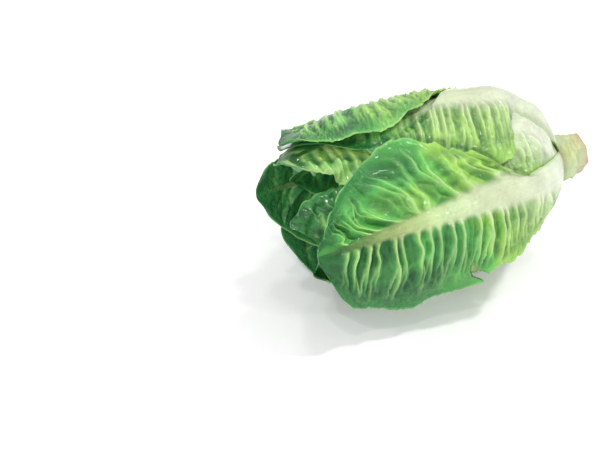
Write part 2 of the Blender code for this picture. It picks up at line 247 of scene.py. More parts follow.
# Side veins. WAVERS: strength in vein spacings, and scales across and along. FORK_PARTS: where a fork leaves
# its vein. RIDGE_SIDES: a ridge's steep and gentle side, in vein spacings.
VEINS_START, VEINS_LENGTH, VEIN_SCATTER = 0.04, 0.9, 0.38
VEIN_HEIGHTS, VEIN_ENDS, VEIN_FADE = (0.45, 1.0), (0.66, 0.95), 0.5
VEIN_HALF_WIDTH, VEIN_ROOT, VEIN_ROOT_LENGTH = 0.00055, 3.5, 0.08
WAVERS = ((0.8, 2.2, 7.0), (0.3, 7.0, 15.0))
FORK_HALF_WIDTH, FORK_APART, FORK_PARTS, FORKED = 0.0005, 0.5, (0.15, 0.85), (0.18, 0.42, 0.6, 0.95)
FORK_HEIGHT, BRANCH_HEIGHT, BRANCH_REACH, BRANCH_SHARPNESS = 0.5, 0.55, 0.35, 1.5
RIDGE_SIDES, RIDGE_PEAK, RIDGE_ROUNDING, RIDGE_SHARPNESS = (0.42, 0.6), 1.08, 0.0064, 2.2
RIDGE_FADE = (0.15, 0.25)
OFF_RIB, VEINED, RIDGES_FADE = (0.7, 1.45), (0.03, 0.12, 0.88, 0.99), (1.0, 0.6)

# Distances from the margins of the leaves outside at which the relief is clear and held back
BROAD_CLEARANCE, FINE_CLEARANCE = (0.01, 0.002), (0.004, -0.003)
LEAF_ENDS = (1.06, 1.02)

# Blisters or hollows between the side veins, and the wrinkles over them. Scales count along the veins and
# across them in cell lengths.
CELL_LENGTH = 0.006
WARP, WARP_SCALE = 1.3, 0.7
CELL_SCALE, CELL_SHIFT = 1.2, 30.0
SMALL_CELL_SCALES, SMALL_CELL_SHIFT, SMALL_CELL_HEIGHT = (2.7, 2.3), 11.0, 0.25
DOME_EDGE, SMALL_DOME_EDGE = 0.6, 0.5
PATCHY, PATCHY_SCALES = 0.45, (0.5, 0.35)
BLISTERED, HOLLOWED, LEAST_BLISTER, BLISTERS_FADE = (-0.1, 0.5), (0.35, 0.75), 0.12, (1.02, 0.85)
NET, NET_EDGE, SMALL_NET_EDGE, SMALL_NET, NETTED = 0.0001, 0.09, 0.1, 0.6, (0.45, 0.75, 0.85, 1.0)
CREASE, CREASE_SCALES, CREASE_SHARPNESS = 0.0007, (2.8, 0.45), 3
WRINKLE, WRINKLE_SCALES = 0.0003, (4.5, 1.1)
CRINKLE, CRINKLE_LENGTH = 0.0002, 0.0022
MARGIN_FADE = (1.0, 0.85)

# Margins: their ruffles, the rolled lip, and how thin they get
RUFFLE_LENGTH, RUFFLE_ROW, RUFFLE_SLANT = 0.009, 5.0, 0.8
RUFFLES_OUT, RUFFLES_FROM = (0.45, 1.0), (0.12, 0.3)
LIP_AT, LIP_HALF_WIDTH, LIP_FROM = 0.975, 0.022, (0.25, 0.45)
MARGIN_FROM, MARGIN_POWER, MARGIN_TIP_POWER = (0.15, 0.4), 4, 12
MARGIN_THINNING, THIN_FROM = 0.4, 0.92
HOLLOWS = 0.7

# Cells of a noise before it repeats, and seeds, to which the leaf's place in the order is added. The veins'
# are for the side of rising and of falling azimuth.
NOISE_CELLS = 64
VEIN_SEEDS = (11, 41)
WARP_SEED, CELL_SEED, CRINKLE_SEED, RUFFLE_SEED, PATCH_SEED, CREASE_SEED = 70, 90, 110, 130, 150, 170
PATCHY_SEED, SMALL_CELL_SEED, GRAIN_SEED, WRINKLE_SEED = 210, 230, 270, 290

# Seeds that stay as they are, for the frill, the crumpled foot and the stump
FRILL_SEED, CRUMPLE_SEED = 250, 310
STUMP_SEED, STUMP_GRAIN_SEED, DENT_SEED, PLATE_SEED = 7, 8, 9, 12

# Linear colours
PALE = np.array((0.47, 0.52, 0.345))
PALE_GREEN = np.array((0.36, 0.57, 0.18))
PALE_BLADE = 0.65 * PALE + 0.35 * PALE_GREEN
# A paler green for a broad rolled margin, partly its own paler edge and partly painted highlight
PALE_LIP_AND_HIGHLIGHT = 0.9 * PALE_GREEN
FOOT_WHITE = np.array((0.6, 0.645, 0.51))
YELLOW_GREEN = np.array((0.3, 0.53, 0.095))
MID_GREEN = np.array((0.115, 0.43, 0.085))
DARK_GREEN = np.array((0.028, 0.18, 0.04))
# A dark green painted in as shade: the shadow under the next leaf and the inner faces of the darker leaves
PAINTED_SHADE_GREEN = np.array((0.034, 0.17, 0.055))
CREAM = np.array((0.36, 0.35, 0.22))
# Darkening factor for the painted shade in the hollows between the side veins
HOLLOW_PAINTED_SHADE = np.array((0.2, 0.34, 0.3))
STRAW = np.array((0.42, 0.4, 0.17))
BROWN = np.array((0.48, 0.2, 0.1))

# How the blade darkens to the tip, to the margin and in patches, and where its foot is pale
TO_TIP, TO_TIP_RANGE, LATE, LATE_RANGE = 1.05, (0.08, 0.88), 0.22, (0.6, 0.95)
TO_MARGIN, TO_MARGIN_RANGE = 0.3, (0.35, 0.95)
BRIGHTNESS, FRESHNESS, PATCHES, PATCH_SCALES, MID_AT = 0.75, 0.55, 0.55, (9.0, 5.0), 0.45
PALE_FEET = {"leaf_front": 0.42, "leaf_top": 0.4, "leaf_upper_front": 0.66}
PALE_FOOT, FULLY_PALE, FOOT_OUT = 0.34, 0.2, (1.15, 0.3)
WHITE_FOOT, BLADE_WHITENESS, RIB_WHITENESS = (0.36, 0.1), 0.75, 0.8
# How far out the painted shade in the hollows reaches, and how dark the painted shadow is where they run in
# under the next leaf
PAINTED_SHADE_OUT, UNDER_LEAF_PAINTED_SHADOW = (1.05, 0.7), 0.95
VEIN_GREENING, VEIN_TINT, NET_TINT, NET_FADE = (0.9, 0.3), 1.05, 0.12, (1.0, 0.5)
RIB_GREENING, STRAW_TINT, STRAW_BAND = (0.3, 0.95), 0.55, (0.55, 0.75, 0.8, 0.95)
RIB_GRAIN, RIB_GRAIN_WIDTH, RIB_GRAIN_SCALE = (0.95, 0.09), 0.0007, 7.0
RIB_EDGE, RIB_RIDGE_REACH, RIB_FADE = (1.35, 0.65), 0.55, (0.15, 0.3)
MARGIN_TINT, MARGIN_EDGE = 0.45, 0.965
# Pale band on a broad rolled margin, partly painted highlight: least lip that has it, its strength and how far
# out it comes
LEAST_PALE_LIP, PALE_LIP_AND_HIGHLIGHT_SHARE, PALE_LIP_AND_HIGHLIGHT_OUT = 0.0007, 0.6, (0.6, 0.85)
# Painted shade on the inner face of the darker leaves, full below the lower of two brights and gone above the
# higher; then the inner face's pale foot, veins and midrib
INNER_PAINTED_SHADE, INNER_PAINTED_SHADE_BRIGHTS, INNER_FOOT, INNER_FOOT_FADE = 0.8, (0.7, 0.2), 0.85, (0.2, 0.05)
INNER_VEIN_TINT, INNER_RIB_TINT, INNER_RIB_EDGE, INNER_RIB_FADE = 0.45, 0.7, (1.1, 0.6), (1.0, 0.7)
# Painted shade in the hollows: its range, and what the creases and the low parts of the blisters add to it
PAINTED_SHADE_RANGE, PAINTED_SHADE_CREASE, PAINTED_SHADE_CELL = (0.25, 1.0), 0.35, 0.25
# How far out the painted shadow under the next leaf reaches, and where a frilled margin is fresher
UNDER_LEAF_SHADOW_OUT, FRESH_OUT = (1.0, 0.7), (0.45, 0.85)

# The stump's mesh, whose rings crowd to the cut
SEGMENTS, RINGS, CUT_RINGS, CROWDING = 160, 110, 30, 1.6
# Its leaf scars: station, lean and the azimuth that each leans to
SCARS = ((0.0045, 0.0016, 0.4), (0.0085, 0.0018, 2.5), (0.0125, 0.0014, 4.4))
SCAR_WAVER, SCAR_STEP, SCAR_GROOVE, SCAR_HALF_WIDTH, SCAR_TONE_WIDTH = 0.001, 0.0007, 0.0004, 0.0005, 0.0007
# Its trimmed facets: how many, how they lean, and their step at one station
FACETS, FACET_LEAN, FACET_STEP, FACET_STEP_LENGTH, FACET_TURN = 7, 18.0, 0.0075, 0.0008, 0.45
FACET_DEPTH, FACET_LIFT = 0.9, 0.04
SKIN_FADE, CUT_SKIN_POWER = (0.045, 0.02), 6
UNEVEN_SCALE, UNEVEN_SHIFT = 2.2, 10.0
STUMP_GRAIN, STUMP_GRAIN_SCALE, STUMP_GRAIN_LENGTH = 0.0002, 9.0, 0.004
DENT, DENT_SCALE, DENT_LENGTH = 0.00045, 2.5, 0.003
# The cut face, by the share of its radius: browned rim, ring mark, pith and the worn edge
RIM, RING_MARK, PITH, EDGE, SIDE_EDGE = (0.93, 0.07), (0.68, 0.05), (0.55, 0.35), (0.86, 1.0), (0.0016, 0.0)
CUT_SINK, CUT_SINK_EDGE, PITH_SINK, CUT_DENT, EDGE_WEAR = 0.0006, 0.8, 0.0004, 0.00025, 0.0005
# Its tints: shares, and the ranges over which they come and go
PALER_FROM_CUT, PLATE_SHARE, PLATE_SCALES, PLATE_SHIFT, PLATE_LENGTH = 0.012, 0.75, (1.3, 0.8), 4.0, 0.006
PLATE_STRAW, STRAW_PLATES, PLATE_PALE, PALE_PLATES = 0.5, (0.45, 0.75), 0.6, (0.45, 0.2)
DENT_GREEN, DENT_GREEN_FROM, SCAR_GREEN, SCAR_BROWN = 0.35, (0.002, 0.01), 0.25, 0.2
CUT_BROWN, RIM_BROWN, RING_BROWN, SIDE_BROWN, SIDE_BROWN_REACH = 0.25, 0.75, 0.35, 1.1, 0.0034
BROWN_BASE, BROWN_UNEVEN, BROWN_DENTS, LEAST_BROWN = 0.55, 1.1, 0.5, 0.1


def smooth_step(low, high, value):
    """0 at low, 1 at high, and a smooth rise between."""
    share = np.clip((value - low) / (high - low), 0.0, 1.0)
    return share * share * (3.0 - 2.0 * share)


def smooth_band(band, value):
    """0 before the band's first value and past its last, 1 between the middle two, and smooth on the way."""
    start, full, fade, end = band
    return smooth_step(start, full, value) * smooth_step(end, fade, value)


def bell(value, width):
    """1 at 0, and down to 1/e at the width."""
    return np.exp(-((value / width) ** 2))


def pick(rising, pair):
    """The pair's value for each point's side: its first for falling azimuth, its second for rising."""
    return np.where(rising, pair[1], pair[0])


def mix(first, second, share):
    """From the first colour to the second by a share for each point."""
    share = np.clip(share, 0.0, 1.0)[..., None]
    return first * (1.0 - share) + second * share


def overlaid(colour, *layers):
    """The colour with others laid over it, each by its share for each point."""
    for tint, share in layers:
        colour = mix(colour, tint, share)
    return colour


def lattice_noise(u, v, seed):
    """Smooth noise in 0 to 1 with features about 1 apart."""
    table = np.random.default_rng(seed).random((NOISE_CELLS, NOISE_CELLS))
    i, j = np.floor(u).astype(int), np.floor(v).astype(int)
    fu, fv = smooth_step(0.0, 1.0, u - i), smooth_step(0.0, 1.0, v - j)
    i, j, next_i, next_j = (index % NOISE_CELLS for index in (i, j, i + 1, j + 1))
    near = table[i, j] * (1 - fv) + table[i, next_j] * fv
    far = table[next_i, j] * (1 - fv) + table[next_i, next_j] * fv
    return near * (1 - fu) + far * fu


def cell_edges(u, v, seed):
    """How much nearer the nearest of scattered points about 1 apart is than the second: 0 between cells."""
    table = np.random.default_rng(seed).random((NOISE_CELLS, NOISE_CELLS, 2))
    i, j = np.floor(u).astype(int), np.floor(v).astype(int)
    first = np.full(u.shape, np.inf)
    second = np.full(u.shape, np.inf)
    for di in (-1, 0, 1):
        for dj in (-1, 0, 1):
            spot = table[(i + di) % NOISE_CELLS, (j + dj) % NOISE_CELLS]
            apart = np.hypot(i + di + spot[..., 0] - u, j + dj + spot[..., 1] - v)
            second = np.minimum(second, np.maximum(first, apart))
            first = np.minimum(first, apart)
    return second - first


def stem_radius(station):
    """The stump, which widens from the cut to the neck, then the stem that tapers inside the head."""
    widened = CUT_EDGE + (1.0 - CUT_EDGE) * np.sqrt(np.clip(station / NECK, 0.0, 1.0))
    share = np.clip((station - NECK) / (STEM_REACH - NECK), 0.0, 1.0)
    return STUMP_RADIUS * widened + (STEM_TIP_RADIUS - STUMP_RADIUS) * share**STEM_TAPER


def shell_radius(leaf, station):
    """The leaf's own nested shell: out from the stem, over the belly, and on to the tip."""
    start_radius = stem_radius(leaf.start) + STEM_GAP + BASE_THICKNESS
    risen = np.clip((station - leaf.start) / leaf.rise, 0.0, 1.0)
    swell = 1.0 - (1.0 - risen) ** SWELL
    past_belly = np.clip((station - BELLY_STATION) / (leaf.reach - BELLY_STATION), 0.0, PAST_TIP)
    return start_radius + (leaf.belly - start_radius) * swell + (leaf.tip - leaf.belly) * past_belly**2


def wrap_radius(leaf, station):
    """Turns widths across the leaf into azimuths."""
    return np.maximum(shell_radius(leaf, station), LEAST_WRAP_RADIUS)


def axis_height(station):
    """The heart's axis climbs a little towards the butt."""
    bend = np.clip((BUTT_BEND - station) / BUTT_BEND, 0.0, 1.0)
    return AXIS_HEIGHT + BUTT_RISE * bend**2


def floor_radius(station, azimuth):
    """Radius at which a place meets the resting surface."""
    return axis_height(station) / (FLAT * np.maximum(-np.sin(azimuth), LEAST_SINE))


def midrib_azimuth(leaf, x):
    """In radians, on the parabola through the leaf's three stated azimuths."""
    base, middle, tip = (math.radians(angle) for angle in leaf.azimuths)
    return base * 2 * (x - 0.5) * (x - 1.0) - middle * 4 * x * (x - 1.0) + tip * 2 * x * (x - 0.5)


def midrib_half_width(leaf, x):
    """Half the width of the pale midrib, which tapers to the tip."""
    taper = np.clip(1.0 - x, 0.0, 1.0) ** MIDRIB_TAPER
    return MIDRIB_TIP_HALF_WIDTH + (leaf.rib - MIDRIB_TIP_HALF_WIDTH) * taper


def keel_profile(x):
    """How proud the midrib stands: at the butt, and again over the crown of the head."""
    return smooth_step(KEEL_BUTT_END, KEEL_BUTT, x) + KEEL_GAIN * smooth_band(KEEL_CROWN, x)


def blade_half_width(leaf, x, rising, torn=True):
    """From the midrib to the margin. rising is true on the side of rising azimuth."""
    width, onset, point, bare, stalk = (
        pick(rising, pair) for pair in (leaf.widths, leaf.onsets, leaf.points, leaf.bare, leaf.stalks)
    )
    widening = np.sin(0.5 * math.pi * (np.clip(x, TINY, leaf.widest) / leaf.widest) ** onset)
    narrowing = np.clip((x - leaf.widest) / (1.0 - leaf.widest), 0.0, 1.0)
    blade = width * widening * (1.0 - narrowing**2) ** point
    blade = blade * smooth_step(BARE_START * bare - TINY, bare, x)
    foot = BASE_HALF_WIDTH * stalk * np.clip(1.0 - x, LEAST_FOOT, 1.0)
    if torn and leaf.name == FRONT_LEAF:
        tear = TEAR_DEPTH * bell(x - TEAR_AT, np.where(x < TEAR_AT, TEAR_BASE_SIDE, TEAR_TIP_SIDE))
        blade = np.where(rising, blade, blade - tear)
    return np.sqrt(blade**2 + foot**2)


def exposure(order, station, azimuth, clear_at, covered_at):
    """How far a place on the leaf is clear of the leaves outside it, by its distance from their margins."""
    clear = np.ones_like(station)
    for outer in LEAVES[:order]:
        x = (station - outer.start) / (outer.reach - outer.start)
        turn = azimuth - midrib_azimuth(outer, x)
        turn = (turn + math.pi) % (2.0 * math.pi) - math.pi
        beyond = np.abs(turn) * wrap_radius(outer, station) - blade_half_width(outer, x, turn > 0)
        covered = smooth_step(clear_at, covered_at, beyond) * smooth_step(*LEAF_ENDS, x)
        clear = clear * (1.0 - covered)
    return clear


def side_veins(count, girth, along, share, length, seed):
    """Nearness to the side veins and their forks, the ridges that carry them, and places counted in veins."""
    rng = np.random.default_rng(seed)
    spacing = VEINS_LENGTH / count
    centres = VEINS_START + spacing * (np.arange(count) + 0.5 + VEIN_SCATTER * rng.uniform(-1, 1, count))
    heights = rng.uniform(*VEIN_HEIGHTS, count)
    turns = rng.choice((-1.0, 1.0), count)
    ends = rng.uniform(*VEIN_ENDS, count)
    place = along
    for number, (strength, across_scale, along_scale) in enumerate(WAVERS, start=1):
        waver = lattice_noise(share * across_scale, along * along_scale, seed + number) - 0.5
        place = place + spacing * strength * waver
    vein_width = girth * VEIN_HALF_WIDTH / length * (1.0 + VEIN_ROOT * np.exp(-share / VEIN_ROOT_LENGTH))
    fork_width = FORK_HALF_WIDTH / length
    forked = smooth_band(FORKED, share)
    near = np.zeros_like(along)
    ridge = np.zeros_like(along)
    for centre, height, turn, end in zip(centres, heights, turns, ends):
        away = place - centre
        fork = away - turn * spacing * FORK_APART * smooth_step(*FORK_PARTS, share)
        near = np.maximum(near, height * smooth_step(end, end - VEIN_FADE, share) * bell(away, vein_width))
        near = np.maximum(near, FORK_HEIGHT * height * forked * bell(fork, fork_width))
        reach = spacing * np.where(away > 0, *RIDGE_SIDES)
        body = np.clip(RIDGE_PEAK - np.sqrt((away / reach) ** 2 + RIDGE_ROUNDING), 0.0, 1.0)
        kept = smooth_step(end + RIDGE_FADE[0], end - RIDGE_FADE[1], share)
        ridge = np.maximum(ridge, height * body**RIDGE_SHARPNESS * kept)
        branch = np.clip(1.0 - np.abs(fork) / (BRANCH_REACH * spacing), 0.0, 1.0) ** BRANCH_SHARPNESS
        ridge = np.maximum(ridge, BRANCH_HEIGHT * height * forked * branch)
    return near, ridge, place / spacing


def leaf_margin(order, along, rising, side):
    """Where each row meets the margin, the half-widths there with and without the tear, and its frill."""
    leaf = LEAVES[order]
    length = leaf.reach - leaf.start
    x = OUTLINE_END * (1.0 - (1.0 - along) ** pick(rising, DRESSES[leaf.name].sweeps))
    if leaf.name == FRONT_LEAF:
        leaning = bell(along - LEAN_AT, LEAN_REACH) * smooth_step(0.0, LEAN_FROM, along)
        x = x + np.where(rising, 0.0, LEAN * leaning)
    rounded = np.sqrt(1.0 - TIP_ROUNDING * np.clip((along - TIP_FROM) / (1.0 - TIP_FROM), 0.0, 1.0) ** 2)
    tooth = lattice_noise(x * length / TOOTH_LENGTH, TOOTH_ROW + side, order) - 0.5
    notch = lattice_noise(x * length / NOTCH_LENGTH, NOTCH_ROW + side, order) - 0.5
    half_width = blade_half_width(leaf, x, rising) * rounded
    half_width = half_width + TOOTH * (TEETH * tooth + NOTCHES * notch) * smooth_step(*TEETH_FROM, x)
    frilled = np.zeros_like(along)
    if leaf.name == FRONT_LEAF:
        frilled = np.where(rising, smooth_band(FRILLED[1], x), smooth_band(FRILLED[0], x))
        half_width = half_width + FRILLED_TEETH * TOOTH * frilled * TEETH * (tooth + notch)
    untorn = np.maximum(half_width, rounded * blade_half_width(leaf, x, rising, False))
    return x, half_width, untorn, frilled


def leaf_grid(order):
    """The places of a leaf's points, on a grid of rows and columns: along is the row's share of the length at
    the midrib, side is 1 or -1, reach is the distance from the midrib's middle."""
    leaf = LEAVES[order]
    dress = DRESSES[leaf.name]
    along, across = np.meshgrid(
        np.linspace(0.0, 1.0, dress.rows + 1), np.linspace(-1.0, 1.0, dress.columns + 1), indexing="ij"
    )
    rising, side, column = across > 0, np.sign(across), np.abs(across)
    x_margin, half_width, untorn, frilled = leaf_margin(order, along, rising, side)
    rib_half = np.minimum(midrib_half_width(leaf, along), MIDRIB_MOST * half_width)
    in_rib = rib_half * column / MIDRIB_COLUMNS
    in_blade = rib_half + (half_width - rib_half) * (column - MIDRIB_COLUMNS) / (1.0 - MIDRIB_COLUMNS)
    reach = np.where(column < MIDRIB_COLUMNS, in_rib, in_blade)
    share = np.clip(reach / untorn, 0.0, 1.0)
    bend = pick(rising, dress.bends)
    bend = bend + (TIP_BEND - bend) * smooth_step(TIP_BEND_FROM, 1.0, along)
    x = along + (x_margin - along) * share**bend
    if leaf.name == FRONT_LEAF:
        lobe = LOBE_OVERHANG * bell(x_margin - LOBE_AT, LOBE_LENGTH)
        x = x - np.where(rising, 0.0, lobe * smooth_step(LOBE_FROM, 1.0, share))
    length = leaf.reach - leaf.start
    station = leaf.start + length * x
    azimuth = midrib_azimuth(leaf, x) + side * reach / wrap_radius(leaf, station)
    clear = exposure(order, station, azimuth, *BROAD_CLEARANCE)
    fine_clear = exposure(order, station, azimuth, *FINE_CLEARANCE)
    return SimpleNamespace(
        length=length, along=along, rising=rising, side=side, x_margin=x_margin, frilled=frilled,
        rib_half=rib_half, reach=reach, share=share, x=x, station=station, azimuth=azimuth,
        clear=clear, fine_clear=fine_clear,
    )


def leaf_veins(order, grid):
    """The side veins of both sides of the leaf, and how far out they count a place to be."""
    dress = DRESSES[LEAVES[order].name]
    spanned = grid.share * dress.span
    sides = [
        side_veins(count, dress.girth, grid.along, spanned, grid.length, seed + order)
        for count, seed in zip(dress.veins[::-1], VEIN_SEEDS)
    ]
    near, ridge, counted = (np.where(grid.rising, *pair) for pair in zip(*sides))
    return near, ridge, counted, spanned


def leaf_blisters(order, grid, counted, puff, veined):
    """Height of the blisters or hollows between the side veins, their domes, and the net of small veins."""
    share = grid.share
    across = grid.side * grid.reach / CELL_LENGTH
    warp = WARP * lattice_noise(counted * WARP_SCALE, across * WARP_SCALE, WARP_SEED + order)
    edge = cell_edges(counted * CELL_SCALE + warp, across + warp + CELL_SHIFT, CELL_SEED + order)
    small_edge = cell_edges(
        counted * SMALL_CELL_SCALES[0] + warp, across * SMALL_CELL_SCALES[1] + warp + SMALL_CELL_SHIFT,
        SMALL_CELL_SEED + order,
    )
    dome = smooth_step(0.0, DOME_EDGE, edge)
    noise = lattice_noise(counted * PATCHY_SCALES[0], across * PATCHY_SCALES[1], PATCHY_SEED + order)
    patchy = (PATCHY + (1.0 - PATCHY) * noise) * veined
    crumpled = np.where(puff > 0, smooth_step(*BLISTERED, share), smooth_step(*HOLLOWED, share))
    blister = np.abs(puff) * np.where(puff > 0, dome, 1.0 - dome) * patchy
    blister = blister * (LEAST_BLISTER + (1.0 - LEAST_BLISTER) * crumpled) * smooth_step(*BLISTERS_FADE, share)
    small_dome = smooth_step(0.0, SMALL_DOME_EDGE, small_edge)
    blister = blister + SMALL_CELL_HEIGHT * puff * crumpled * small_dome * patchy
    net = np.maximum(bell(edge, NET_EDGE), SMALL_NET * bell(small_edge, SMALL_NET_EDGE))
    net = np.where(puff > 0, 0.0, net * veined * smooth_band(NETTED, share))
    return blister, dome, net


def leaf_margin_relief(order, grid):
    """How far the leaf's free margin waves, ruffles and frills, or is tucked in."""
    leaf = LEAVES[order]
    share, along, x_margin = grid.share, grid.along, grid.x_margin
    near_margin = 1.0 - (1.0 - share**MARGIN_POWER) * (1.0 - along**MARGIN_TIP_POWER)
    wave = 0.5 + 0.5 * np.sin(2.0 * math.pi * WAVES * along + order + grid.side * (1.0 - along))
    relief = near_margin * smooth_step(*MARGIN_FROM, along) * (MARGIN_RELIEF * wave + leaf.flare)
    rows = RUFFLE_ROW + grid.side + RUFFLE_SLANT * share
    ruffle = lattice_noise(x_margin * grid.length / RUFFLE_LENGTH, rows, RUFFLE_SEED + order)
    ruffle = ruffle * smooth_step(*RUFFLES_OUT, share) * smooth_step(*RUFFLES_FROM, x_margin)
    frill = lattice_noise(x_margin * grid.length / FRILL_LENGTH, share, FRILL_SEED) - FRILL_LOW
    frill = FRILL * grid.frilled * smooth_step(*FRILL_OUT, share) * frill
    relief = relief + DRESSES[leaf.name].ruffles * ruffle + frill
    if leaf.name in TUCKS:
        tuck, band = TUCKS[leaf.name]
        tucked = smooth_band(band, grid.x) * smooth_step(TUCK_FROM, 1.0, share)
        relief = relief - np.where(grid.rising, 0.0, tuck * tucked)
    return relief


def leaf_faces(order):
    """Outer and inner points of a finely dressed leaf, and their colours, on a grid of rows and columns."""
    leaf = LEAVES[order]
    dress = DRESSES[leaf.name]
    grid = leaf_grid(order)
    share, x, side, reach, station = grid.share, grid.x, grid.side, grid.reach, grid.station
    fold, puff = pick(grid.rising, dress.folds), pick(grid.rising, dress.puffs)
    height = MIDRIB_HEIGHT * (COVERED_RIDGE + (1.0 - COVERED_RIDGE) * grid.clear)
    height = height + leaf.keel * keel_profile(x) * grid.clear
    shoulder = np.sqrt(np.clip(x / SHOULDER, SHOULDER_LEAST, 1.0))
    midrib = height * shoulder * (1.0 - x) ** MIDRIB_HEIGHT_TAPER * bell(reach, grid.rib_half)

    off_rib = smooth_step(*OFF_RIB, reach / grid.rib_half)
    in_length = smooth_band(VEINED, grid.along)
    veined = off_rib * in_length
    near, ridge, counted, spanned = leaf_veins(order, grid)
    rib_share = reach / grid.rib_half - RIB_RIDGE_REACH * ridge * in_length
    near = near * veined
    ridges_kept = veined * smooth_step(*RIDGES_FADE, spanned)
    ridge = ridge * ridges_kept
    blister, dome, net = leaf_blisters(order, grid, counted, puff, veined)
    across = side * reach / CELL_LENGTH
    streak = lattice_noise(counted * CREASE_SCALES[0], across * CREASE_SCALES[1], CREASE_SEED + order)
    streak = (1.0 - np.abs(2.0 * streak - 1.0)) ** CREASE_SHARPNESS * veined
    wrinkle = lattice_noise(counted * WRINKLE_SCALES[0], across * WRINKLE_SCALES[1], WRINKLE_SEED + order)
    wrinkle = wrinkle * in_length * smooth_step(*MARGIN_FADE, share)
    crinkle = lattice_noise(station / CRINKLE_LENGTH, side * reach / CRINKLE_LENGTH, CRINKLE_SEED + order)
    lip = bell(share - LIP_AT, LIP_HALF_WIDTH) * smooth_step(*LIP_FROM, grid.x_margin)

    broad = fold * ridge + leaf_margin_relief(order, grid)
    fine = dress.ribs * near + blister + CREASE * streak + NET * net + CRINKLE * crinkle * off_rib
    fine = fine + WRINKLE * wrinkle + dress.lip * lip
    if leaf.name == CRUMPLED_LEAF:
        crumple = lattice_noise(station / CRUMPLE_LENGTHS[0], side * reach / CRUMPLE_LENGTHS[1], CRUMPLE_SEED)
        fine = fine + CRUMPLE * crumple * smooth_band(CRUMPLED, x)
    hollows = fold * (1.0 - ridge) * ridges_kept
    shell = shell_radius(leaf, station) - HOLLOWS * hollows * (1.0 - grid.clear) * grid.fine_clear
    lowest = floor_radius(station, grid.azimuth)
    outer = np.minimum(shell + midrib + broad * grid.clear + fine * grid.fine_clear, lowest)
    slope = (shell_radius(leaf, station + SLOPE_STEP) - shell) / SLOPE_STEP
    thin = MARGIN_THINNING + (1.0 - MARGIN_THINNING) * smooth_step(1.0, THIN_FROM, share)
    blade = BLADE * np.sqrt(1.0 + slope**2) * thin
    inner = outer - blade - np.clip(np.minimum(midrib, lowest - shell), 0.0, None)

    # Painted shade: darker in the hollows between the side veins, along the creases and in the low parts of
    # the blisters
    painted_hollow_shade = smooth_step(*PAINTED_SHADE_RANGE, 1.0 - ridge - PAINTED_SHADE_CREASE * streak)
    painted_hollow_shade = painted_hollow_shade * (1.0 - PAINTED_SHADE_CELL + PAINTED_SHADE_CELL * np.where(puff > 0, 1.0 - dome, dome))
    # Painted shadow where the hollows run in under the next leaf outside
    sunk = painted_hollow_shade * (1.0 - grid.clear) * grid.fine_clear * off_rib * smooth_step(*UNDER_LEAF_SHADOW_OUT, share)
    fresh = grid.frilled * smooth_step(*FRESH_OUT, share)
    colours = leaf_colours(order, grid, rib_share, near, net, painted_hollow_shade, sunk, fresh)
    return world_points(station, grid.azimuth, outer), world_points(station, grid.azimuth, inner), colours


